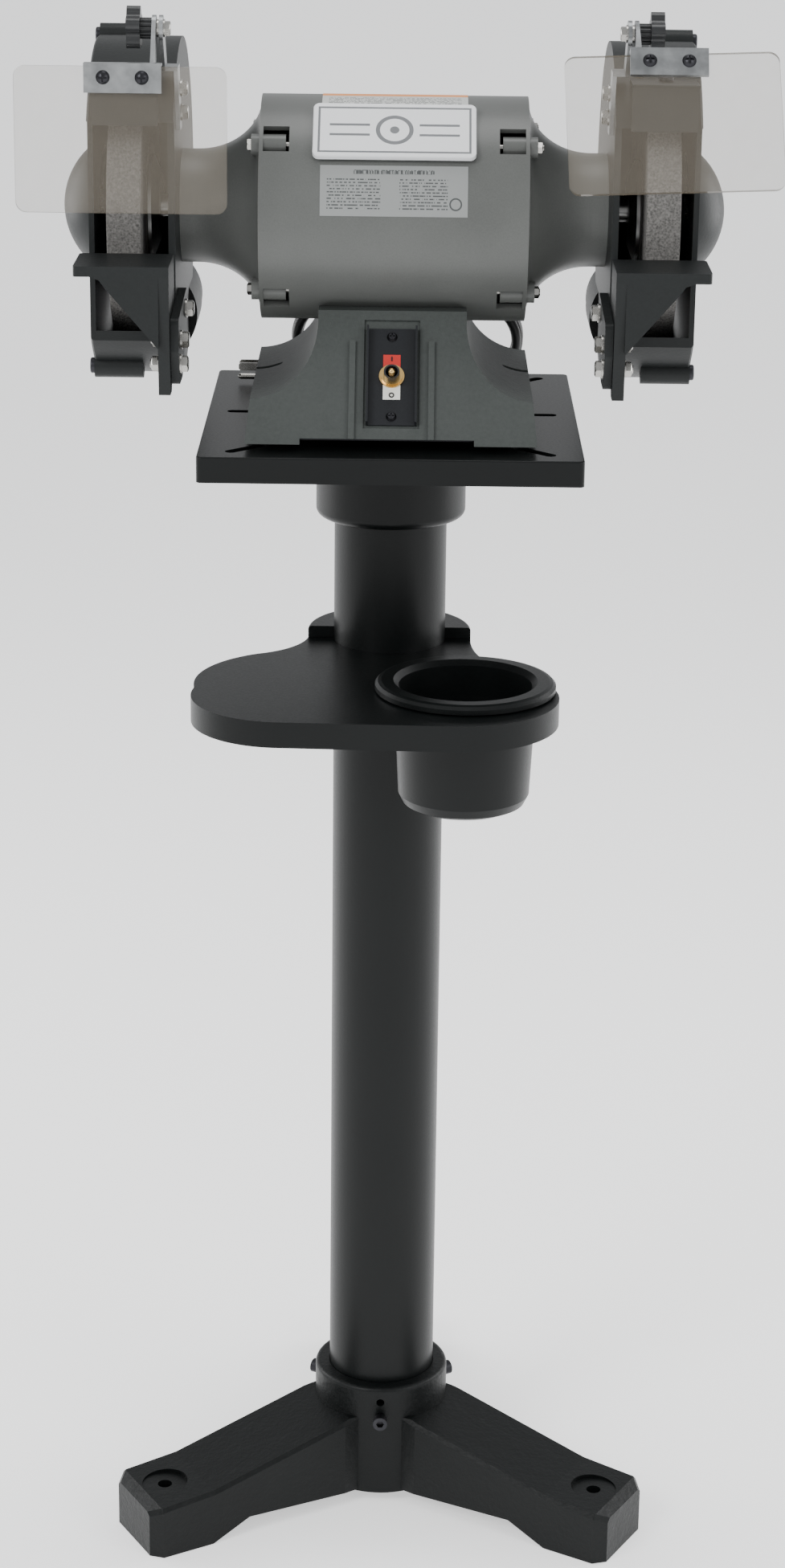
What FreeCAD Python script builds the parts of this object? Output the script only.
import FreeCAD, Part
import math
import os

# Bench grinder on a pedestal. Millimetres, Z up from the floor, origin on the column's axis.
# The operator stands on the -Y side. "u" is the distance from the middle plane along X.

# Driving sizes: stand
column_diameter = 88.9
column_wall = 3.2
plate_top = 940.4
plate_thickness = 19.6
plate_width = 288.0
plate_depth = 316.0
collar_diameter = 118.0
collar_length = 61.0
hub_top = 110.0
hub_radius = 56.4
hub_floor = 10.0
foot_reach = 237.0
foot_width = 78.0
foot_height = 45.0
leg_sole_clearance = 6.0
anchor_circle_radius = 208.0
anchor_hole_radius = 6.0
leg_angles = (-30.0, 90.0, 210.0)

# Driving sizes: tray and water pot
tray_drop = 102.8
tray_thickness = 20.0
clamp_radius = 65.0
clamp_height = 29.0
pot_place = (59.0, -138.0)
pot_radius = 53.4
pot_flange_radius = 69.0
pot_depth = 92.0
pot_wall = 2.5

# Driving sizes: grinder
axis_above_plate = 160.6
base_height = 88.1
barrel_radius = 85.0
barrel_half_length = 98.0
bell_lug_length = 9.0
bell_shoulder_length = 3.0
bell_neck_radius = 43.0
bell_length = 64.0
shell_wall = 5.0
shaft_radius = 10.0
arbor_radius = 7.9375
wheel_radius = 101.6
wheel_width = 25.4
wheel_offset = 37.5
guard_room = 25.4
guard_width = 60.0
guard_wall = 5.0
cover_thickness = 4.0
platform_drop = 20.0

# Named clearances
running_clearance = 0.05
slide_clearance = 0.08
moving_gap = 0.35
screw_clearance = 0.25
foot_rise = 5.5

# Derived sizes
column_radius = column_diameter / 2
plate_bottom = plate_top - plate_thickness
column_end = plate_bottom - 1.0
collar_bottom = plate_bottom - collar_length
tray_top = collar_bottom - tray_drop
tray_bottom = tray_top - tray_thickness
base_bottom = plate_top + foot_rise
base_ledge = base_bottom + base_height
axis_height = plate_top + axis_above_plate
platform_top = axis_height - platform_drop
guard_radius = wheel_radius + guard_room
bell_lug_reach = barrel_half_length + bell_lug_length
bell_shoulder = barrel_half_length + bell_shoulder_length
bell_end = barrel_half_length + bell_length
guard_inner = bell_end
guard_outer = guard_inner + guard_width
wheel_place = guard_inner + wheel_offset

X_AXIS = FreeCAD.Vector(1, 0, 0)
Y_AXIS = FreeCAD.Vector(0, 1, 0)
Z_AXIS = FreeCAD.Vector(0, 0, 1)
SIDES = (("left", -1), ("right", 1))

solids = {}


def vec(x, y, z):
    return FreeCAD.Vector(x, y, z)


def rod(radius, length, start, direction=Z_AXIS):
    """A cylinder that grows from start along direction."""
    return Part.makeCylinder(radius, length, start, direction)


def ring(outer, inner, length, start, direction=Z_AXIS):
    return rod(outer, length, start, direction).cut(rod(inner, length, start, direction))


def block(x0, x1, y0, y1, z0, z1):
    """A box between two corners given in any order."""
    low = vec(min(x0, x1), min(y0, y1), min(z0, z1))
    return Part.makeBox(abs(x1 - x0), abs(y1 - y0), abs(z1 - z0), low)


def plan(points, z0, z1):
    """A polygon in plan, raised from z0 to z1."""
    wire = Part.makePolygon([vec(x, y, z0) for x, y in points + [points[0]]])
    return Part.Face(wire).extrude(vec(0, 0, z1 - z0))


def side_view(points, x0, x1):
    """A polygon of (y, z) points, carried along X from x0 to x1."""
    wire = Part.makePolygon([vec(x0, y, z) for y, z in points + [points[0]]])
    return Part.Face(wire).extrude(vec(x1 - x0, 0, 0))


def front_view(points, y0, y1):
    """A polygon of (x, z) points, carried along Y from y0 to y1."""
    wire = Part.makePolygon([vec(x, y0, z) for x, z in points + [points[0]]])
    return Part.Face(wire).extrude(vec(0, y1 - y0, 0))


def turned(points, centre, axis=X_AXIS):
    """A closed (along, radius) outline turned about an axis through centre."""
    across = Z_AXIS if axis is not Z_AXIS else X_AXIS
    path = [centre + axis * along + across * radius for along, radius in points]
    face = Part.Face(Part.makePolygon(path + [path[0]]))
    return face.revolve(centre, axis, 360)


def spun(shape, angle, centre, axis=Z_AXIS):
    copy = shape.copy()
    copy.rotate(centre, axis, angle)
    return copy


def moved(shape, x, y, z):
    copy = shape.copy()
    copy.translate(vec(x, y, z))
    return copy


def mirrored(shape):
    """The same shape on the other side of the middle plane."""
    return shape.mirror(vec(0, 0, 0), X_AXIS)


def hexagon(across_flats, height, start, direction):
    """A hexagon head or nut that grows from start along direction."""
    corner = across_flats / math.sqrt(3)
    turn = FreeCAD.Rotation(Z_AXIS, direction)
    rim = [vec(corner * math.cos(math.radians(60 * i + 30)), corner * math.sin(math.radians(60 * i + 30)), 0)
           for i in range(7)]
    head = Part.Face(Part.makePolygon([start + turn.multVec(p) for p in rim])).extrude(direction * height)
    chamfer = height * 0.22
    dome = Part.makeCone(corner, corner - chamfer * 1.6, chamfer, start + direction * (height - chamfer), direction)
    return head.common(rod(corner, height - chamfer, start, direction).fuse(dome))


def rounded_slot(length, width, x, y, z0, z1, angle=0.0):
    """A round-ended slot in plan, centred on x, y and lying along angle."""
    half = length / 2 - width / 2
    body = block(-half, half, -width / 2, width / 2, z0, z1)
    body = body.fuse([rod(width / 2, z1 - z0, vec(-half, 0, z0)), rod(width / 2, z1 - z0, vec(half, 0, z0))])
    return moved(spun(body, angle, vec(0, 0, 0)), x, y, 0)


def round_edges(shape, radius, choose):
    """Fillets the edges that choose picks; radius is the whole shape's."""
    return shape.makeFillet(radius, [edge for edge in shape.Edges if choose(edge)])


def upright(edge):
    """True for a straight edge that runs along Z."""
    if len(edge.Vertexes) != 2 or not isinstance(edge.Curve, Part.Line):
        return False
    return abs(edge.tangentAt(edge.FirstParameter).z) > 0.999


def level_at(height):
    """Picks the edges that lie wholly at one height."""
    def choose(edge):
        box = edge.BoundBox
        return abs(box.ZMin - height) < 0.01 and abs(box.ZMax - height) < 0.01
    return choose


def keep(name, *shapes):
    """Files one sub-part, as one solid or a group of separate solids."""
    pieces = [solid for shape in shapes for solid in shape.Solids]
    solids[name] = pieces[0] if len(pieces) == 1 else Part.makeCompound(pieces)


# ---------------------------------------------------------------- stand

set_screw_height = hub_top - 27.0
set_screw_radius = 4.0
hub_bore_radius = column_radius + 0.4
column_foot = hub_floor


def leg():
    """One cast leg that points along +X, with its foot."""
    half = foot_width / 2
    inner_half = half + 4.0
    foot_start = anchor_circle_radius - 26.0
    profile = [(0, hub_floor), (foot_start - 34.0, hub_floor + leg_sole_clearance), (foot_start, 0),
               (foot_reach, 0), (foot_reach, foot_height - 5.0), (foot_reach - 9.0, foot_height),
               (foot_start - 2.0, foot_height + 4.0), (hub_radius - 6.0, hub_top - 29.0), (0, hub_top - 29.0)]
    wire = Part.makePolygon([vec(x, -inner_half, z) for x, z in profile + [profile[0]]])
    slab = Part.Face(wire).extrude(vec(0, 2 * inner_half, 0))
    corner = 9.0
    outline = plan([(0, -inner_half + 12.0), (hub_radius, -half), (foot_reach - corner, -half),
                    (foot_reach, -half + corner), (foot_reach, half - corner), (foot_reach - corner, half),
                    (hub_radius, half), (0, inner_half - 12.0)], 0, hub_top)
    body = slab.common(outline)
    top_edges = [edge for edge in body.Edges if min(vertex.Point.z for vertex in edge.Vertexes) > foot_height - 6.0
                 and edge.BoundBox.XMin > hub_radius - 8.0 and abs(edge.CenterOfMass.y) > 1.0]
    body = body.makeChamfer(3.0, top_edges)
    return body


def base_casting():
    spider = rod(hub_radius, hub_top - hub_floor, vec(0, 0, hub_floor))
    spider = round_edges(spider, 4.0, level_at(hub_top))
    spider = spider.fuse([spun(leg(), angle, vec(0, 0, 0)) for angle in leg_angles]).removeSplitter()
    cuts = [rod(hub_bore_radius, hub_top, vec(0, 0, column_foot + 2.0)),
            rod(column_radius - column_wall - 4.0, hub_top, vec(0, 0, -1))]
    for angle in leg_angles:
        hole = rod(anchor_hole_radius, foot_height * 2, vec(anchor_circle_radius, 0, -1))
        face = rod(19.0, foot_height, vec(anchor_circle_radius, 0, foot_height - 0.5))
        screw = rod(set_screw_radius + screw_clearance, hub_radius, vec(hub_bore_radius - 1.0, 0, set_screw_height), X_AXIS)
        cuts += [spun(hole, angle, vec(0, 0, 0)), spun(face, angle, vec(0, 0, 0))]
        cuts.append(spun(screw, angle + 60.0, vec(0, 0, 0)))
    front = spun(rod(3.4, hub_radius, vec(hub_bore_radius - 1.0, 0, set_screw_height + 14.0), X_AXIS), -90.0, vec(0, 0, 0))
    return spider.cut(cuts + [front])


def socket_screw(radius, length, head_radius, head_height, tip, direction):
    """A socket-head cap screw; its tip is at tip and it grows along direction."""
    head_start = tip + direction * length
    screw = rod(radius, length, tip, direction).fuse(rod(head_radius, head_height, head_start, direction))
    socket = hexagon(head_radius * 0.95, head_height, head_start + direction * head_height * 0.45, direction)
    return screw.cut(socket)


def base_set_screws():
    screws = []
    for angle in leg_angles:
        screw = socket_screw(set_screw_radius, hub_radius - column_radius + 5.0, 6.0, 7.0,
                             vec(column_radius, 0, set_screw_height), X_AXIS)
        screws.append(spun(screw, angle + 60.0, vec(0, 0, 0)))
    return screws


def table_plate():
    plate = block(-plate_width / 2, plate_width / 2, -plate_depth / 2, plate_depth / 2, plate_bottom, plate_top)
    plate = round_edges(plate, 4.0, upright)
    plate = round_edges(plate, 1.2, level_at(plate_top))
    collar = rod(collar_diameter / 2, collar_length + 1.0, vec(0, 0, collar_bottom))
    collar = round_edges(collar, 6.0, level_at(collar_bottom))
    plate = plate.fuse(collar).removeSplitter()
    cuts = [rod(column_radius + screw_clearance, column_end - collar_bottom + 1.0, vec(0, 0, collar_bottom - 1.0))]
    slot = (plate_bottom - 1.0, plate_top + 1.0)
    side_middle = plate_width / 2 - 37.0
    for side in (-1, 1):
        cuts.append(rounded_slot(44.0, 9.0, side * side_middle, 0, *slot))
        for end in (-1, 1):
            cuts.append(rounded_slot(42.0, 9.0, side * (plate_width / 2 - 37.0), end * (plate_depth / 2 - 31.5),
                                     *slot, angle=side * end * 44.0))
    return plate.cut(cuts)


def tray_outline(z0, z1):
    """The shelf's plan: a lobe on each side and a waist that narrows to the clamp."""
    lobe_x = pot_place[0] - 5.0
    lobe_y = pot_place[1] - 16.0
    lobe = pot_flange_radius + 7.0

    def on_lobe(angle):
        turn = math.radians(angle)
        return vec(lobe_x + lobe * math.cos(turn), lobe_y + lobe * math.sin(turn), z0)

    left_ear = vec(-clamp_radius, -1, z0)
    right_ear = vec(clamp_radius, -1, z0)
    front_left = vec(-84, lobe_y - lobe + 5.0, z0)
    outline = [
        Part.Arc(left_ear, vec(-74, -24, z0), vec(-103, -48, z0)),
        Part.Arc(vec(-103, -48, z0), vec(-136, -80, z0), vec(-147.6, -140, z0)),
        Part.Arc(vec(-147.6, -140, z0), vec(-133, -200, z0), front_left),
        Part.LineSegment(front_left, on_lobe(-90)),
        Part.Arc(on_lobe(-90), on_lobe(0), on_lobe(62)),
        Part.Arc(on_lobe(62), vec(73, -54, z0), right_ear),
        Part.LineSegment(right_ear, left_ear),
    ]
    face = Part.Face(Part.Wire([curve.toShape() for curve in outline]))
    return face.extrude(vec(0, 0, z1 - z0))


clamp_bolt_u = (clamp_radius + column_radius) / 2
clamp_bolt_radius = 3.5
clamp_bolt_height = tray_bottom + clamp_height * 0.36


def tray():
    shelf = tray_outline(tray_bottom, tray_top)
    cuts = [rod(column_radius + slide_clearance, tray_thickness + 2, vec(0, 0, tray_bottom - 1)),
            rod(pot_radius + 1.5, tray_thickness + 2, vec(pot_place[0], pot_place[1], tray_bottom - 1))]
    for side in (-1, 1):
        cuts.append(rod(clamp_bolt_radius, 30.0, vec(side * clamp_bolt_u, -25.0, clamp_bolt_height), Y_AXIS))
    return shelf.cut(cuts)


def tray_clamp():
    strap = rod(clamp_radius, clamp_height, vec(0, 0, tray_bottom))
    strap = round_edges(strap, 2.5, level_at(tray_bottom + clamp_height))
    cuts = [rod(column_radius + slide_clearance, clamp_height + 2, vec(0, 0, tray_bottom - 1)),
            block(-clamp_radius - 1, clamp_radius + 1, -clamp_radius - 1, 1.2, 0, tray_top * 2)]
    for side in (-1, 1):
        start = vec(side * clamp_bolt_u, 0, clamp_bolt_height)
        cuts += [rod(clamp_bolt_radius + screw_clearance, 60.0, start, Y_AXIS),
                 rod(9.0, 60.0, start + Y_AXIS * 18.0, Y_AXIS)]
    return strap.cut(cuts)


def tray_clamp_bolts():
    bolts = []
    for side in (-1, 1):
        start = vec(side * clamp_bolt_u, -25.0, clamp_bolt_height)
        bolts.append(rod(clamp_bolt_radius, 43.0, start, Y_AXIS).fuse(hexagon(12.0, 5.5, start + Y_AXIS * 43.0, Y_AXIS)))
    return bolts


def water_pot():
    """A pressed pot with a rolled flange that hangs on the shelf's ring."""
    centre = vec(pot_place[0], pot_place[1], tray_top)
    floor = 8.0 - pot_depth
    taper = 3.0
    rise = 8.0
    outside = [(floor - 8.0, 0), (floor - 8.0, pot_radius - taper - 12.0), (floor - 4.0, pot_radius - taper - 3.5),
               (floor + 3.0, pot_radius - taper), (-tray_thickness, pot_radius), (0.2, pot_radius),
               (0.2, pot_flange_radius - 3.0), (1.4, pot_flange_radius), (rise - 3.0, pot_flange_radius),
               (rise - 0.8, pot_flange_radius - 2.2), (rise, pot_flange_radius - 5.0),
               (rise, pot_radius + 1.6), (rise - 1.6, pot_radius)]
    inside = [(rise - 4.0, pot_radius - pot_wall), (-tray_thickness, pot_radius - pot_wall),
              (floor + 2.0, pot_radius - taper - pot_wall), (floor - 4.0, pot_radius - taper - pot_wall - 8.0),
              (floor - 5.5, 0)]
    return turned(outside + inside, centre, Z_AXIS)


keep("base_casting", base_casting())
keep("base_set_screws", *base_set_screws())
keep("column_tube", ring(column_radius, column_radius - column_wall, column_end - column_foot - 2.0,
                         vec(0, 0, column_foot + 2.0)))
keep("table_plate", table_plate())
keep("tool_tray", tray())
keep("tray_clamp", tray_clamp())
keep("tray_clamp_bolts", *tray_clamp_bolts())
keep("water_pot", water_pot())

# ---------------------------------------------------------------- motor and its base

AXIS = vec(0, 0, axis_height)
base_half_width = 109.0
base_front = -137.0
base_rear = 95.0
slope_top_y = -68.0
slope_angle = math.degrees(math.atan2(base_ledge - base_bottom, slope_top_y - base_front))
scoop_radius = 51.0
lug_top = base_bottom + 29.0
post_places = [(x, y) for x in (-91.0, 91.0) for y in (base_front + 32.0, base_rear - 23.0)]
switch_place = 57.0
gland_height = base_ledge - 20.0
gland_x = -40.0


def on_slope(shape):
    """Moves a shape drawn flat (x across, y up the slope, z outwards) onto the base's front."""
    shape = spun(shape, slope_angle, vec(0, 0, 0), X_AXIS)
    return moved(shape, 0, base_front, base_bottom)


def motor_base():
    rear_top = base_rear - 32.0
    body = side_view([(base_front, base_bottom), (slope_top_y, base_ledge), (rear_top, base_ledge),
                      (base_rear, base_bottom)], -base_half_width, base_half_width)
    body = body.common(front_view([(-base_half_width, base_bottom), (base_half_width, base_bottom),
                                   (base_half_width - 3, lug_top), (base_half_width - 3, base_ledge),
                                   (3 - base_half_width, base_ledge), (3 - base_half_width, lug_top)],
                                  base_front - 1, base_rear + 1))
    for side in (-1, 1):
        scoop = rod(scoop_radius, 400, vec(side * (base_half_width - 2), -200, lug_top + scoop_radius), Y_AXIS)
        body = body.cut(scoop.fuse(block(side * (base_half_width - 2 - scoop_radius), side * 150, -200, 200,
                                         lug_top + scoop_radius, base_ledge + 20)))
    body = body.cut(rod(barrel_radius, 300, AXIS - X_AXIS * 150, X_AXIS))
    ribs = [on_slope(block(side * 27.5, side * 32.0, 4, 86, -3, 2.5)) for side in (-1, 1)]
    body = body.fuse(ribs)
    roof = axis_height - barrel_radius - 8.0
    tall = side_view([(base_front + 10, base_bottom - 1), (base_front + 58, roof), (rear_top - 8, roof),
                      (base_rear - 9, base_bottom - 1)], -50, 50)
    wide = side_view([(base_front + 10, base_bottom - 1), (base_front + 27, base_bottom + 21),
                      (base_rear - 17, base_bottom + 21), (base_rear - 9, base_bottom - 1)],
                     8 - base_half_width, base_half_width - 8)
    body = body.cut(tall.fuse(wide))
    posts = [rod(11, 22, vec(x, y, base_bottom)) for x, y in post_places]
    body = body.fuse(posts)
    cuts = [block(-68, 62, base_front - 2, base_front + 14, base_bottom - 1, base_bottom + 4),
            on_slope(block(-21, 21, 14, 104, -2, 8)), on_slope(block(-12, 12, 39, 75, -20, 5)),
            rod(5.2, 40, vec(gland_x, rear_top - 20, gland_height), Y_AXIS)]
    for side in (-1, 1):
        cuts.append(rounded_slot(22, 8, side * (base_half_width - 13), 0, base_bottom - 1, lug_top + 8))
    for place in (switch_place - 33, switch_place + 33):
        cuts.append(on_slope(rod(1.8, 10, vec(0, place, -9))))
    return body.cut(cuts)


def base_bottom_cover():
    sheet = plan([(8.3 - base_half_width, base_front + 12.5), (base_half_width - 8.3, base_front + 12.5),
                  (base_half_width - 8.3, base_rear - 10.5), (8.3 - base_half_width, base_rear - 10.5)],
                 base_bottom + 0.8, base_bottom + 2.0)
    holes = [rod(11.3, 10, vec(x, y, base_bottom - 2)) for x, y in post_places]
    vents = [rounded_slot(40, 5, x, y, base_bottom - 1, base_bottom + 4)
             for x in (-30, 30) for y in (-60, -45, -30)]
    return sheet.cut(holes + vents)


def rubber_feet():
    return [Part.makeCone(11, 9, foot_rise, vec(x, y, base_bottom), Z_AXIS * -1) for x, y in post_places]


def notch(angle, side):
    cut = block(side * (barrel_half_length - 19.5), side * (barrel_half_length + 1), -11.5, 11.5,
                axis_height + barrel_radius - 14, axis_height + barrel_radius + 2)
    return spun(cut, angle, AXIS, X_AXIS)


tie_circle = barrel_radius - 8.5
tie_angles = (45, 135, 225, 315)


def motor_frame():
    body = ring(barrel_radius, barrel_radius - shell_wall, 2 * barrel_half_length,
                AXIS - X_AXIS * barrel_half_length, X_AXIS)
    return body.cut([notch(angle, side) for angle in tie_angles for side in (-1, 1)])


def bell_outline(grow):
    """The bell's curved flare, as a quarter ellipse; grow moves it inwards by a wall."""
    middle = vec(bell_end - 12, 0, axis_height + barrel_radius - 1)
    reach = middle.x - bell_shoulder + grow
    drop = barrel_radius - 1 - bell_neck_radius + grow
    return Part.Ellipse(middle + X_AXIS * reach, middle + Z_AXIS * drop, middle)


bearing_outer = 20.0
bearing_inner = 8.5
bearing_width = 12.0
bearing_seat = bell_end - 12 - bearing_width


def end_bell():
    """The right-hand bell: flared shell, bearing seat and four bolt lugs."""
    flare = bell_outline(0)
    hollow = bell_outline(shell_wall)
    step = bell_shoulder - 1.0
    seat_depth = bearing_seat - 2.0

    def at(u, radius):
        return vec(u, 0, axis_height + radius)

    middle_u = bell_end - 12
    reach = middle_u - bell_shoulder + shell_wall
    drop = barrel_radius - 1 - bell_neck_radius + shell_wall

    def hollow_turn(u):
        return math.pi + math.acos((middle_u - u) / reach)

    start_radius = barrel_radius - 1 - drop * math.sin(hollow_turn(step) - math.pi)
    end_radius = barrel_radius - 1 - drop * math.sin(hollow_turn(seat_depth) - math.pi)
    lines = [(at(bell_shoulder, barrel_radius - 1), at(bell_shoulder, barrel_radius)),
             (at(bell_shoulder, barrel_radius), at(barrel_half_length, barrel_radius)),
             (at(barrel_half_length, barrel_radius), at(barrel_half_length, barrel_radius - shell_wall)),
             (at(barrel_half_length, barrel_radius - shell_wall), at(step, barrel_radius - shell_wall)),
             (at(step, barrel_radius - shell_wall), at(step, start_radius)),
             (at(seat_depth, end_radius), at(seat_depth, bearing_outer)),
             (at(seat_depth, bearing_outer), at(bell_end - 12, bearing_outer)),
             (at(bell_end - 12, bearing_outer), at(bell_end - 12, 14)),
             (at(bell_end - 12, 14), at(bell_end - 6, 14)), (at(bell_end - 6, 14), at(bell_end - 6, 9.6)),
             (at(bell_end - 6, 9.6), at(bell_end, 9.6)), (at(bell_end, 9.6), at(bell_end, bell_neck_radius)),
             (at(bell_end, bell_neck_radius), at(bell_end - 12, bell_neck_radius))]
    edges = [Part.LineSegment(a, b).toShape() for a, b in lines]
    edges.append(Part.ArcOfEllipse(flare, math.pi, 1.5 * math.pi).toShape())
    edges.append(Part.ArcOfEllipse(hollow, hollow_turn(step), hollow_turn(seat_depth)).toShape())
    face = Part.Face(Part.Wire(Part.__sortEdges__(edges)))
    body = face.revolve(AXIS, X_AXIS, 360)
    lugs = []
    holes = []
    for angle in tie_angles:
        boss = rod(8, bell_lug_reach - barrel_half_length + 17, vec(barrel_half_length - 17, 0, axis_height + tie_circle),
                   X_AXIS)
        boss = boss.common(rod(barrel_radius - 0.4, 200, AXIS, X_AXIS))
        lugs.append(spun(boss, angle, AXIS, X_AXIS))
        hole = rod(2.7, 40, vec(barrel_half_length - 20, 0, axis_height + tie_circle), X_AXIS)
        holes.append(spun(hole, angle, AXIS, X_AXIS))
    return body.fuse(lugs).cut(holes)


def tie_bolts():
    bolts = []
    for angle in tie_angles:
        start = vec(-bell_lug_reach, 0, axis_height + tie_circle)
        bolt = rod(2.5, 2 * bell_lug_reach + 4.5, start, X_AXIS)
        bolt = bolt.fuse([hexagon(8, 3.5, start, X_AXIS * -1), hexagon(8, 4, start + X_AXIS * 2 * bell_lug_reach, X_AXIS)])
        bolts.append(spun(bolt, angle, AXIS, X_AXIS))
    return bolts


stack_half = 45.0
rotor_radius = barrel_radius - 41.0
air_gap = 0.5
winding_outer = tie_circle - 11.5
winding_inner = rotor_radius + 3.0


def stator_core():
    core = ring(barrel_radius - shell_wall, rotor_radius + air_gap, 2 * stack_half, AXIS - X_AXIS * stack_half, X_AXIS)
    cuts = [spun(rod(3.0, 200, vec(-100, 0, axis_height + tie_circle), X_AXIS), angle, AXIS, X_AXIS)
            for angle in tie_angles]
    cuts += [spun(block(-60, 60, -2.2, 2.2, axis_height + rotor_radius - 1, axis_height + rotor_radius + 18), 15 * i,
                  AXIS, X_AXIS) for i in range(24)]
    return core.cut(cuts)


def stator_windings():
    return [ring(winding_outer, winding_inner, 17, AXIS + X_AXIS * (side * (stack_half + 9) - 8.5), X_AXIS) for side in (-1, 1)]


def rotor_shaft():
    shoulder = wheel_place - wheel_width / 2 - 8.0
    parts = [rod(bearing_inner, 2 * shoulder, AXIS - X_AXIS * shoulder, X_AXIS),
             rod(arbor_radius, 2 * (guard_outer + 14), AXIS - X_AXIS * (guard_outer + 14), X_AXIS),
             rod(shaft_radius, 2 * (bearing_seat - 1), AXIS - X_AXIS * (bearing_seat - 1), X_AXIS)]
    return parts[0].fuse(parts[1:]).removeSplitter()


def bearing_rings(outer, inner):
    return [ring(outer, inner, bearing_width, AXIS + X_AXIS * (side * (bearing_seat + bearing_width / 2)
                                                               - bearing_width / 2), X_AXIS) for side in (-1, 1)]


def bearing_balls():
    balls = []
    for side in (-1, 1):
        for i in range(8):
            ball = Part.makeSphere(2.4, vec(side * (bearing_seat + bearing_width / 2), 0, axis_height + 14.45))
            balls.append(spun(ball, 45 * i, AXIS, X_AXIS))
    return balls


def curved_label(angle_low, angle_high, half_width, thickness):
    """A label wrapped on the barrel between two angles above the front horizontal."""
    turn = math.radians(angle_low)
    corners = [(-half_width, barrel_radius), (half_width, barrel_radius), (half_width, barrel_radius + thickness),
               (-half_width, barrel_radius + thickness)]
    points = [vec(x, -r * math.cos(turn), axis_height + r * math.sin(turn)) for x, r in corners]
    face = Part.Face(Part.makePolygon(points + [points[0]]))
    return face.revolve(AXIS, X_AXIS, angle_low - angle_high)


def name_badge():
    badge = block(-61, 61, -barrel_radius - 3.6, -barrel_radius, axis_height - 26, axis_height + 26)
    badge = badge.makeFillet(5, [e for e in badge.Edges if e.BoundBox.YLength > 3 and e.BoundBox.XLength < 0.1
                                 and e.BoundBox.ZLength < 0.1])
    badge = badge.makeFillet(0.8, [e for e in badge.Edges if abs(e.BoundBox.YMax + barrel_radius + 3.6) < 0.01])
    return spun(badge, -49, AXIS, X_AXIS)


# Switch, drawn flat on the slope

plate_level = -2.0


def switch_plate():
    flat = block(-19, 19, switch_place - 40, switch_place + 40, plate_level, plate_level + 1.5)
    flanges = [block(side * 17.5, side * 19, switch_place - 40, switch_place + 40, plate_level, 6) for side in (-1, 1)]
    holes = [rod(6.2, 9, vec(0, switch_place, -6))]
    holes += [rod(2.2, 9, vec(0, switch_place + s, -6)) for s in (-33, 33)]
    return on_slope(flat.fuse(flanges).cut(holes))


def switch_screws():
    screws = []
    for place in (switch_place - 33, switch_place + 33):
        start = vec(0, place, plate_level + 1.5)
        head = Part.makeCone(4.0, 2.6, 2.2, start, Z_AXIS).fuse(rod(1.8, 7.4, start, Z_AXIS * -1))
        cross = block(-2.2, 2.2, place - 0.5, place + 0.5, plate_level + 2.7, 5)
        screws.append(on_slope(head.cut([cross, spun(cross, 90, start)])))
    return screws


def switch_body():
    case = block(-11, 11, switch_place - 17, switch_place + 17, -28, plate_level)
    bushing = rod(6.0, 10.5, vec(0, switch_place, plate_level))
    cavity = rod(4.7, 18, vec(0, switch_place, -9))
    terminals = [block(-3, 3, switch_place + s - 0.5, switch_place + s + 0.5, -36, -28) for s in (-10, 0, 10)]
    return on_slope(case.fuse([bushing] + terminals).cut(cavity))


def switch_legend():
    tab = block(-6.5, 6.5, switch_place - 19, switch_place + 18, plate_level + 1.5, plate_level + 2.1)
    return on_slope(tab.cut(rod(6.2, 6, vec(0, switch_place, -3))))


def toggle_nut():
    start = vec(0, switch_place, plate_level + 2.1)
    nut = rod(9.5, 1.2, start).fuse(rod(8.2, 3.2, start))
    return on_slope(nut.cut(rod(6.0, 9, start - Z_AXIS * 2)))


lever_pivot = vec(0, switch_place, -2.0)
lever_rest_angle = 12.0


def toggle_lever():
    stick = Part.makeCone(1.7, 2.6, 19, lever_pivot).fuse([Part.makeSphere(2.6, lever_pivot + Z_AXIS * 19),
                                                          Part.makeSphere(2.4, lever_pivot)])
    return on_slope(spun(stick, lever_rest_angle, lever_pivot, X_AXIS))


def capacitor():
    return rod(17.0, 62, vec(-31, 20, base_bottom + 2.0 + 17.0), X_AXIS)


keep("motor_base", motor_base())
keep("base_bottom_cover", base_bottom_cover())
keep("rubber_feet", *rubber_feet())
keep("motor_frame", motor_frame())
keep("end_bells", end_bell(), mirrored(end_bell()))
keep("tie_bolts", *tie_bolts())
keep("stator_core", stator_core())
keep("stator_windings", *stator_windings())
keep("rotor_shaft", rotor_shaft())
keep("rotor_core", ring(rotor_radius, shaft_radius, 2 * stack_half, AXIS - X_AXIS * stack_half, X_AXIS))
keep("centrifugal_switch", ring(24, shaft_radius, 14, AXIS + X_AXIS * (stack_half + 22), X_AXIS))
keep("bearing_outers_and_balls", *bearing_rings(bearing_outer, 17.0), *bearing_balls())
keep("bearing_inner_rings", *bearing_rings(11.9, bearing_inner))
keep("capacitor", capacitor())
keep("switch_plate", switch_plate())
keep("switch_screws", *switch_screws())
keep("switch_body", switch_body())
keep("switch_legend", switch_legend())
keep("toggle_nut", toggle_nut())
keep("toggle_lever", toggle_lever())
keep("name_badge", name_badge())
keep("motor_labels", curved_label(4.5, 30.0, 55, 0.3), curved_label(68.5, 100.0, 55, 0.3))

# ---------------------------------------------------------------- grinding heads, drawn on the right

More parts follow.
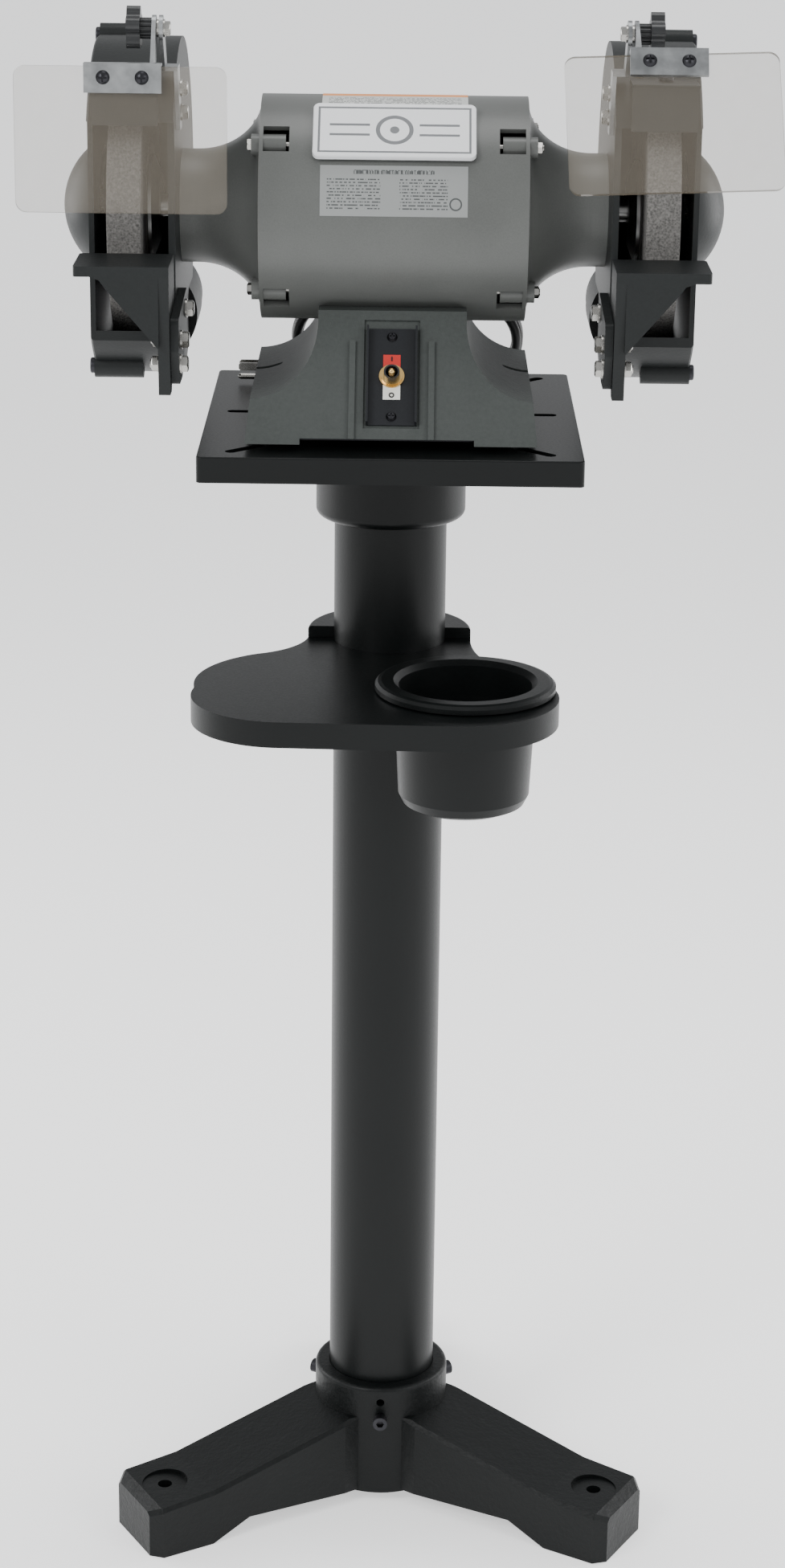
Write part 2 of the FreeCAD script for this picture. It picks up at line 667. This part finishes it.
wheel_inner = wheel_place - wheel_width / 2
wheel_outer = wheel_place + wheel_width / 2
flange_radius = 38.0
flange_thickness = 8.0
chord = 35.0 - guard_radius
mouth_top = guard_radius - 51.0
rim_radius = guard_radius - guard_wall
cover_screw_circle = guard_radius + 0.94
cover_screw_angles = (242.03, 76.45, 20.14)
cover_screw_places = [(cover_screw_circle * math.cos(math.radians(angle)),
                       cover_screw_circle * math.sin(math.radians(angle))) for angle in cover_screw_angles]
arrestor_screw_u = guard_inner + 37.0
arrestor_screw_y = 44.0 - guard_radius
arrestor_seat = guard_radius - 22.0
arrestor_travel = 6.0
port_radius = 37.0
port_bore = 34.0
port_u = guard_inner + 32.0
port_drop = 32.0 - guard_radius
port_end = guard_radius + 23.0
port_shoulder = guard_radius - 9.0
port_start = guard_radius - 69.0
dome_radius = 49.0
dome_depth = 27.0
dome_wall = 4.0
dome_nose = 1.0
cover_bevel = 1.5


def at_head(u, y, rise):
    return vec(u, y, axis_height + rise)


def wheel():
    body = ring(wheel_radius, arbor_radius + running_clearance, wheel_width, at_head(wheel_inner, 0, 0), X_AXIS)
    return round_edges(body, 0.8, lambda edge: edge.Length > 600 and edge.BoundBox.XLength < 0.01)


def wheel_flanges():
    dish = [(0, arbor_radius), (0, flange_radius - 10), (1.2, flange_radius - 10), (1.2, flange_radius - 9),
            (0, flange_radius - 9), (0, flange_radius), (3, flange_radius), (flange_thickness, flange_radius - 12),
            (flange_thickness, arbor_radius)]
    outer = turned(dish, at_head(wheel_outer, 0, 0))
    inner = turned([(-along, radius) for along, radius in dish], at_head(wheel_inner, 0, 0))
    return [outer, inner, mirrored(outer), mirrored(inner)]


def arbor_nut():
    start = at_head(wheel_outer + flange_thickness, 0, 0)
    return hexagon(24, 10, start, X_AXIS).cut(rod(arbor_radius, 12, start - X_AXIS, X_AXIS))


def mouth(start, end):
    """The open front that both the guard and its cover share."""
    return block(start, end, chord, -guard_radius - 30, axis_height - guard_radius - 1, axis_height + mouth_top)


def guard_housing():
    width = guard_outer - guard_inner
    body = rod(guard_radius, width, at_head(guard_inner, 0, 0), X_AXIS)
    body = body.fuse([rod(9, width - 27, at_head(guard_inner + 27, y, rise), X_AXIS)
                      for y, rise in cover_screw_places]).removeSplitter()
    body = body.fuse(block(guard_inner + 22, guard_inner + 52, arrestor_screw_y - 8, arrestor_screw_y + 19, axis_height + arrestor_seat - 21,
                           axis_height + arrestor_seat))
    cuts = [rod(rim_radius, width, at_head(guard_inner + guard_wall, 0, 0), X_AXIS),
            mouth(guard_inner - 1, guard_outer + 1),
            rod(port_bore - 7, 140, at_head(port_u - 2, 12, port_drop), Y_AXIS),
            rod(flange_radius - 19, 30, at_head(guard_inner - 1, 0, 0), X_AXIS),
            rod(2.5, 30, at_head(arrestor_screw_u, arrestor_screw_y, arrestor_seat - 23), Z_AXIS)]
    for y, rise in cover_screw_places:
        cuts.append(rod(2.6, 30, at_head(guard_outer - 18, y, rise), X_AXIS))
    for y, rise in shield_bolt_places + [rest_fix_place]:
        cuts.append(rod(3.0, 12, at_head(guard_inner - 2, y, rise), X_AXIS))
    return body.cut(cuts)


def cover_section():
    """Half the cover's section: a bevelled rim, a flat face and a ball-shaped middle with a small flat at its nose."""
    centre = at_head(guard_outer, 0, 0)

    def at(along, radius):
        return centre + X_AXIS * along + Z_AXIS * radius

    def bulge(wide, foot):
        """Three points of an arc from its brim to its nose, dome_depth proud of its foot."""
        ball = (wide ** 2 + dome_depth ** 2) / (2 * dome_depth)
        brim = math.asin(wide / ball)
        nose = math.asin(dome_nose / ball)
        return [at(foot + dome_depth - ball + ball * math.cos(turn), ball * math.sin(turn))
                for turn in (brim, (brim + nose) / 2, nose)]

    outside = bulge(dome_radius, cover_thickness)
    inside = bulge(dome_radius - dome_wall, 0)
    rim = at(cover_thickness - cover_bevel, guard_radius)
    shoulder = at(cover_thickness, guard_radius - cover_bevel)
    tip = vec(outside[2].x, centre.y, centre.z)
    hollow = vec(inside[2].x, centre.y, centre.z)
    foot = at(0, guard_radius)
    lines = [(foot, rim), (rim, shoulder), (shoulder, outside[0]), (outside[2], tip), (tip, hollow),
             (hollow, inside[2]), (inside[0], foot)]
    edges = [Part.LineSegment(start, end).toShape() for start, end in lines]
    edges += [Part.Arc(*outside).toShape(), Part.Arc(*inside).toShape()]
    return Part.Face(Part.Wire(Part.__sortEdges__(edges)))


def guard_cover():
    end = guard_outer + cover_thickness
    body = cover_section().revolve(at_head(guard_outer, 0, 0), X_AXIS, 360)
    body = body.fuse([rod(9, cover_thickness, at_head(guard_outer, y, rise), X_AXIS)
                      for y, rise in cover_screw_places])
    holes = [rod(3.3, 20, at_head(guard_outer - 2, y, rise), X_AXIS) for y, rise in cover_screw_places]
    return body.cut([mouth(guard_outer - 1, end + 1)] + holes)


def cover_screws():
    screws = []
    for y, rise in cover_screw_places:
        start = at_head(guard_outer + cover_thickness, y, rise)
        head = round_edges(rod(6, 3.6, start, X_AXIS), 1.4, lambda edge: abs(edge.BoundBox.XMin - start.x - 3.6) < 0.01)
        cross = block(start.x + 1.8, start.x + 5, y - 3.4, y + 3.4, start.z - 0.6, start.z + 0.6)
        head = head.cut([cross, spun(cross, 90, start, X_AXIS)])
        screws.append(head.fuse(rod(2.6, 21, start, X_AXIS * -1)))
    return screws


def dust_port():
    """A round outlet at the lower rear that a vacuum hose pushes over."""
    start = at_head(port_u, port_start, port_drop)
    tube = rod(port_radius, port_end - port_start, start, Y_AXIS)
    tube = tube.fuse(rod(port_radius + 1.5, port_shoulder - port_start, start, Y_AXIS))
    drum = rod(guard_radius, guard_outer + cover_thickness - guard_inner, at_head(guard_inner, 0, 0), X_AXIS)
    return tube.cut([rod(port_bore, port_end, start + Y_AXIS * 4, Y_AXIS), drum])


rest_inner = guard_inner + moving_gap
rest_gap = 1.9
platform_rear = -wheel_radius - rest_gap
rest_slot_places = [(platform_rear - 24.5, -79.0), (platform_rear - 34.5, -95.0)]
rest_fix_place = (-72.0, -66.0)
platform_rise = platform_top - axis_height
platform_thickness = 7.5
platform_front = platform_rear - 57.0
platform_outer = guard_outer + 10.0
rest_leg_end = guard_inner + 9.0


def tool_rest():
    under = platform_rise - platform_thickness
    deck = block(rest_inner, platform_outer, platform_front, platform_rear, platform_top, platform_top - platform_thickness)
    deck = round_edges(deck, 3.0, lambda e: e.BoundBox.ZLength > 7 and e.BoundBox.XMin > platform_outer - 1 and e.Length < 8)
    top = axis_height + under
    leg_plate = side_view([(platform_front, top), (platform_front + 2.5, axis_height - 62),
                           (platform_front + 9.5, axis_height - 116), (platform_front + 24.5, axis_height - 116),
                           (platform_rear, axis_height - 74), (platform_rear, top)], rest_inner, rest_leg_end)
    web = front_view([(rest_leg_end - 1, top), (guard_outer - 2, top), (guard_outer - 9, top - 2.5), (guard_outer - 13, top - 8),
                      (rest_leg_end, top - 52), (rest_leg_end - 1, top - 52)], platform_front, platform_front + 7)
    body = deck.fuse([leg_plate, web]).removeSplitter()
    slots = []
    for y, rise in rest_slot_places:
        slot = block(rest_inner - 1, rest_leg_end + 1, y - 4, y + 13, axis_height + rise - 3.4, axis_height + rise + 3.4)
        ends = [rod(3.4, 12, at_head(rest_inner - 1, place, rise), X_AXIS) for place in (y - 4, y + 13)]
        slots.append(slot.fuse(ends))
    return body.cut(slots)


def rest_bracket():
    plate = side_view([(-56, axis_height - 52), (platform_rear - 46.5, axis_height - 60), (platform_rear - 48.5, axis_height - 84),
                       (platform_rear - 38.5, axis_height - 110), (platform_rear - 8.5, axis_height - 110), (-60, axis_height - 84)],
                      guard_inner - 6, guard_inner)
    plate = round_edges(plate, 5.0, lambda e: abs(e.BoundBox.XLength - 6) < 0.01 and e.BoundBox.YLength < 0.01)
    holes = [rod(3.0, 12, at_head(guard_inner - 8, y, rise), X_AXIS)
             for y, rise in rest_slot_places + [rest_fix_place]]
    return plate.cut(holes)


def rest_bolts():
    """Hexagon-headed bolts with washers; the two front ones pass through the rest's slots."""
    bolts = []
    for y, rise in rest_slot_places + [rest_fix_place]:
        start = at_head(guard_inner - 6, y, rise)
        reach = 11.0 if (y, rise) == rest_fix_place else 22.0
        bolt = rod(3.0, reach, start, X_AXIS).fuse(rod(7, 1.4, start, X_AXIS * -1))
        bolt = bolt.fuse(hexagon(11, 5, start - X_AXIS * 1.4, X_AXIS * -1))
        if reach > 20:
            end = rest_leg_end + moving_gap
            bolt = bolt.fuse(rod(6.5, 1.2, at_head(end, y, rise), X_AXIS))
            bolt = bolt.fuse(hexagon(10, 4.5, at_head(end + 1.2, y, rise), X_AXIS))
        bolts.append(bolt)
    return bolts


def spark_arrestor():
    """A steel angle over the mouth, slotted so that it can be set to the wheel."""
    lift = arrestor_seat + moving_gap
    front = arrestor_screw_y - 22.5
    flange = block(guard_inner + 11, guard_outer, front, arrestor_screw_y + 11.5, axis_height + lift, axis_height + lift + 2.5)
    face = block(guard_inner + 11, guard_outer, front, front + 2.5, axis_height + arrestor_seat - 31, axis_height + lift + 1)
    slot = block(arrestor_screw_u - 2.9, arrestor_screw_u + 2.9, arrestor_screw_y - 1, arrestor_screw_y + arrestor_travel + 1,
                 axis_height + arrestor_seat - 5, axis_height + arrestor_seat + 10)
    ends = [rod(2.9, 15, at_head(arrestor_screw_u, y, arrestor_seat - 5), Z_AXIS)
            for y in (arrestor_screw_y - 1, arrestor_screw_y + arrestor_travel + 1)]
    body = flange.fuse(face).removeSplitter()
    body = round_edges(body, 2.4, lambda e: e.BoundBox.XLength > 48 and abs(e.BoundBox.YMin - front) < 0.01
                       and e.BoundBox.ZMin > axis_height + arrestor_seat - 5)
    return body.cut(slot.fuse(ends))


def arrestor_screw():
    top = at_head(arrestor_screw_u, arrestor_screw_y, arrestor_seat + 2.5 + 2 * moving_gap)
    head = round_edges(rod(5.5, 3.2, top, Z_AXIS), 1.4, lambda e: abs(e.BoundBox.ZMin - top.z - 3.2) < 0.01)
    return head.fuse(rod(2.5, 18, top, Z_AXIS * -1))


# Eye shield and its bracket

pivot_y = 22.0 - guard_radius
pivot_rise = guard_radius + 17.0
strap_inner = guard_inner - 3.0
upper_strap = guard_inner + 6.0
shield_bolt_places = [(pivot_y + 45.0, pivot_rise - 48.0), (pivot_y + 48.0, pivot_rise - 66.0)]
arm_inner = guard_inner + 11.0
pivot_radius = 3.0


def shield_bracket():
    foot = axis_height + pivot_rise - 78
    bend = axis_height + pivot_rise - 32
    lower = side_view([(pivot_y + 57, foot), (pivot_y + 37, foot), (pivot_y + 13, bend + 3), (pivot_y + 35, bend + 3)],
                      strap_inner, guard_inner)
    shelf = block(strap_inner, upper_strap + 3, pivot_y + 13, pivot_y + 35, bend, bend + 3)
    upper = side_view([(pivot_y + 35, bend), (pivot_y + 13, bend), (pivot_y - 9, axis_height + pivot_rise - 3),
                       (pivot_y + 7, axis_height + pivot_rise + 5)], upper_strap, upper_strap + 3)
    body = lower.fuse([shelf, upper, rod(9.5, 3, at_head(upper_strap, pivot_y, pivot_rise), X_AXIS)]).removeSplitter()
    holes = [rod(3.0, 8, at_head(strap_inner - 2, y, rise), X_AXIS) for y, rise in shield_bolt_places]
    holes.append(rod(pivot_radius, 8, at_head(upper_strap - 2, pivot_y, pivot_rise), X_AXIS))
    return body.cut(holes)


def shield_bracket_bolts():
    bolts = []
    for y, rise in shield_bolt_places:
        start = at_head(strap_inner, y, rise)
        bolts.append(rod(3.0, 10, start, X_AXIS).fuse([rod(6.2, 1.2, start, X_AXIS * -1),
                                                      hexagon(10, 4.2, start - X_AXIS * 1.2, X_AXIS * -1)]))
    return bolts


def shield_pivot_bolt():
    start = at_head(upper_strap, pivot_y, pivot_rise)
    bolt = rod(pivot_radius, 24, start - X_AXIS * 4, X_AXIS)
    nut = hexagon(10, 4, start - X_AXIS * 1.2, X_AXIS * -1)
    washers = [rod(6.4, 1.2, start, X_AXIS * -1), rod(6.4, arm_inner - moving_gap - upper_strap - 3, start + X_AXIS * 3, X_AXIS)]
    return bolt.fuse([nut] + washers)


clamp_inner = guard_inner + 6.0
clamp_outer = guard_outer + 2.0
clamp_screw_u = (clamp_inner + 14.0, clamp_outer - 14.0)
shield_thickness = 3.0
shield_front = pivot_y - 25.0
clamp_rise = pivot_rise - 34.0


def swung(shape, angle):
    """Turns a piece of the shield about its pivot; positive lifts its lower edge forwards."""
    return spun(shape, -angle, at_head(0, pivot_y, pivot_rise), X_AXIS)


def shield_arm():
    """The arm at the pivot and the folded clamp plate that holds the shield."""
    top = axis_height + clamp_rise + 11
    tab = side_view([(pivot_y + 8, axis_height + pivot_rise + 4), (pivot_y + 5, axis_height + pivot_rise - 9),
                     (shield_front + 1, top - 20), (shield_front - 3, top - 20), (shield_front - 3, top),
                     (pivot_y - 8, axis_height + pivot_rise + 5)], arm_inner, arm_inner + 3)
    eye = rod(9.5, 3, at_head(arm_inner, pivot_y, pivot_rise), X_AXIS)
    plate = block(clamp_inner, clamp_outer, shield_front - 3, shield_front, top - 21, top)
    lip = block(clamp_inner, clamp_outer, shield_front - 3, shield_front + 7, top - 2, top)
    body = tab.fuse([eye, plate, lip]).cut(rod(pivot_radius + running_clearance, 9, at_head(arm_inner - 2, pivot_y, pivot_rise),
                                               X_AXIS))
    return body.cut([rod(2.0, 8, vec(u, shield_front - 4, top - 10), Y_AXIS) for u in clamp_screw_u])


def eye_shield(roll):
    """The clear pane; a rolled one sits lower, so that its corner clears the clamp's lip."""
    top = axis_height + clamp_rise + 8.6 - 31.5 * math.tan(math.radians(roll))
    pane = block(wheel_place - 1.5 - 77, wheel_place - 1.5 + 77, shield_front, shield_front + shield_thickness, top - 105, top)
    pane = round_edges(pane, 8.0, lambda e: abs(e.BoundBox.YLength - shield_thickness) < 0.01)
    pane = spun(pane, -roll, at_head(wheel_place, shield_front, clamp_rise), Y_AXIS)
    pane = pane.cut(block(arm_inner - 1, arm_inner + 4, shield_front - 1, shield_front + 4,
                          axis_height + clamp_rise - 10.4, axis_height + clamp_rise + 10))
    return pane.cut([rod(2.0, 8, vec(u, shield_front - 2, axis_height + clamp_rise + 1), Y_AXIS) for u in clamp_screw_u])


def shield_screws():
    """Cross-headed screws, each with its nut behind the shield."""
    screws = []
    for u in clamp_screw_u:
        start = vec(u, shield_front - 3, axis_height + clamp_rise + 1)
        head = Part.makeSphere(5.6, start + Y_AXIS * 2.4).common(rod(6, 4, start, Y_AXIS * -1))
        cross = block(u - 3, u + 3, start.y - 5, start.y - 1.6, start.z - 0.6, start.z + 0.6)
        head = head.cut([cross, spun(cross, 90, start, Y_AXIS)])
        nut = hexagon(7, 2.6, start + Y_AXIS * (3 + shield_thickness), Y_AXIS)
        screws.append(head.fuse([rod(2.0, 10, start, Y_AXIS), nut]))
    return screws


def shield_knob():
    """A lobed clamping knob with a ribbed hub."""
    start = at_head(arm_inner + 3 + moving_gap, pivot_y, pivot_rise)
    hub = rod(6.3, 8.5, start, X_AXIS)
    ribs = [spun(rod(1.4, 8, start + Z_AXIS * 6.2, X_AXIS), 30 * i, start, X_AXIS) for i in range(12)]
    head = rod(13.2, 10, start + X_AXIS * 8, X_AXIS)
    lobes = [spun(rod(5.2, 10, start + X_AXIS * 8 + Z_AXIS * 10.6, X_AXIS), 72 * i, start, X_AXIS) for i in range(5)]
    hollows = [spun(rod(4.6, 12, start + X_AXIS * 7 + Z_AXIS * 16.4, X_AXIS), 72 * i + 36, start, X_AXIS) for i in range(5)]
    body = hub.fuse(ribs + [head] + lobes).cut(hollows)
    return body.cut(rod(pivot_radius + running_clearance, 15, start - X_AXIS, X_AXIS))


SHIELD_SWING = {"left": 2.0, "right": 31.0}
SHIELD_ROLL = {"left": 0.0, "right": 2.3}


def handed(shape, side):
    return shape if side > 0 else mirrored(shape)


def both_sides(shapes):
    return shapes + [mirrored(shape) for shape in shapes]


for side_name, side in SIDES:
    swing = SHIELD_SWING[side_name]
    keep("guard_housing_" + side_name, handed(guard_housing(), side))
    keep("tool_rest_" + side_name, handed(tool_rest(), side))
    keep("spark_arrestor_" + side_name, handed(spark_arrestor(), side))
    keep("shield_arm_" + side_name, handed(swung(shield_arm(), swing), side))
    keep("eye_shield_" + side_name, handed(swung(eye_shield(SHIELD_ROLL[side_name]), swing), side))
    keep("shield_screws_" + side_name, *[handed(swung(screw, swing), side) for screw in shield_screws()])
    keep("shield_knob_" + side_name, handed(shield_knob(), side))

keep("grinding_wheels", *both_sides([wheel()]))
keep("wheel_flanges", *wheel_flanges())
keep("arbor_nuts", *both_sides([arbor_nut()]))
keep("guard_covers", *both_sides([guard_cover()]))
keep("cover_screws", *both_sides(cover_screws()))
keep("dust_ports", *both_sides([dust_port()]))
keep("rest_brackets", *both_sides([rest_bracket()]))
keep("rest_bolts", *both_sides(rest_bolts()))
keep("arrestor_screws", *both_sides([arrestor_screw()]))
keep("shield_brackets", *both_sides([shield_bracket()]))
keep("shield_bracket_bolts", *both_sides(shield_bracket_bolts() + [shield_pivot_bolt()]))

# ---------------------------------------------------------------- supply cord

cord_radius = 4.0
hank_end_radius = 30.0
hank_half_straight = 62.0
hank_centre_x = 11.5
hank_front = 119.0
hank_turns = 4
plug_axis_y = 107.0
plug_axis_z = plate_top + 12.6

# Chosen points of the cord's two loose ends
lead_route = [(gland_x, 92, gland_height), (-38, 112, 1015), (-22, 132, 1014), (2, 143, 1009), (28, 147, 1004)]
tail_route = [(-66, plug_axis_y, plug_axis_z), (-48, plug_axis_y, plug_axis_z), (-24, 110, 947.5), (2, 117, 944.8), (30, 123, 944.4)]


def corded_tube(name, route):
    """Straight runs joined by tangent arcs, as large as the runs on each side allow."""
    points = [vec(*point) for point in route]
    edges = []
    start = points[0]
    for before, corner, after in zip(points, points[1:], points[2:]):
        run_in = (corner - before).Length
        run_out = (after - corner).Length
        into = (corner - before).normalize()
        out = (after - corner).normalize()
        turn = into.getAngle(out)
        reach = 0.45 * min(run_in, run_out)
        radius = reach / math.tan(turn / 2)
        print(name, "bend radius", round(radius, 1))
        first = corner - into * reach
        last = corner + out * reach
        inward = (out - into).normalize()
        centre = corner + inward * (radius / math.cos(turn / 2))
        middle = centre - inward * radius
        edges += [Part.LineSegment(start, first).toShape(), Part.Arc(first, middle, last).toShape()]
        start = last
    edges.append(Part.LineSegment(start, points[-1]).toShape())
    path = Part.Wire(edges)
    section = Part.Wire(Part.Circle(points[0], points[1] - points[0], cord_radius).toShape())
    tube = path.makePipeShell([section], True, False)
    ratio = tube.Volume / (math.pi * cord_radius ** 2 * path.Length)
    print(name, "length", round(path.Length, 1), "volume against section times length", round(ratio, 3))
    return tube


def stadium(radius):
    """The hank's plan seen from the front: two half rounds joined by straights."""
    low = plate_top + cord_radius + hank_end_radius
    body = block(hank_centre_x - hank_half_straight, hank_centre_x + hank_half_straight, hank_front,
                 hank_front + 2 * cord_radius * hank_turns, low - radius, low + radius)
    ends = [rod(radius, 2 * cord_radius * hank_turns, vec(hank_centre_x + s * hank_half_straight, hank_front, low), Y_AXIS)
            for s in (-1, 1)]
    return body.fuse(ends).removeSplitter()


def cord_gland():
    start = base_rear - 32.0
    body = turned([(-6, cord_radius), (-6, 5.2), (8.6, 5.2), (8.6, 8.5), (12.5, 8.5), (12.5, 7.2), (29, 5.4),
                   (29, cord_radius)], vec(gland_x, start, gland_height), Y_AXIS)
    return body


def plug():
    """A moulded three-pin plug that lies on the plate."""
    body = turned([(0, 0), (0, cord_radius), (2, 5.5), (14, 7.5), (17, 11), (22, 12.6), (40, 12.6), (42, 11.4), (42, 0)],
                  vec(-66, plug_axis_y, plug_axis_z), X_AXIS * -1)
    blades = [block(-108, -125, plug_axis_y + s * 6.35 - 0.75, plug_axis_y + s * 6.35 + 0.75, plug_axis_z - 1,
                    plug_axis_z + 5.3) for s in (-1, 1)]
    ground = rod(2.4, 19, vec(-107, plug_axis_y, plug_axis_z - 7), X_AXIS * -1)
    return body.fuse(blades + [ground])


keep("cord_gland", cord_gland())
keep("cord_lead", corded_tube("lead", lead_route))
keep("cord_hank", stadium(hank_end_radius + cord_radius).cut(stadium(hank_end_radius - cord_radius)))
keep("cord_tail", corded_tube("tail", tail_route))
keep("cord_plug", plug())

os.makedirs("parts", exist_ok=True)
for name, shape in solids.items():
    shape.exportStep("parts/" + name + ".step")
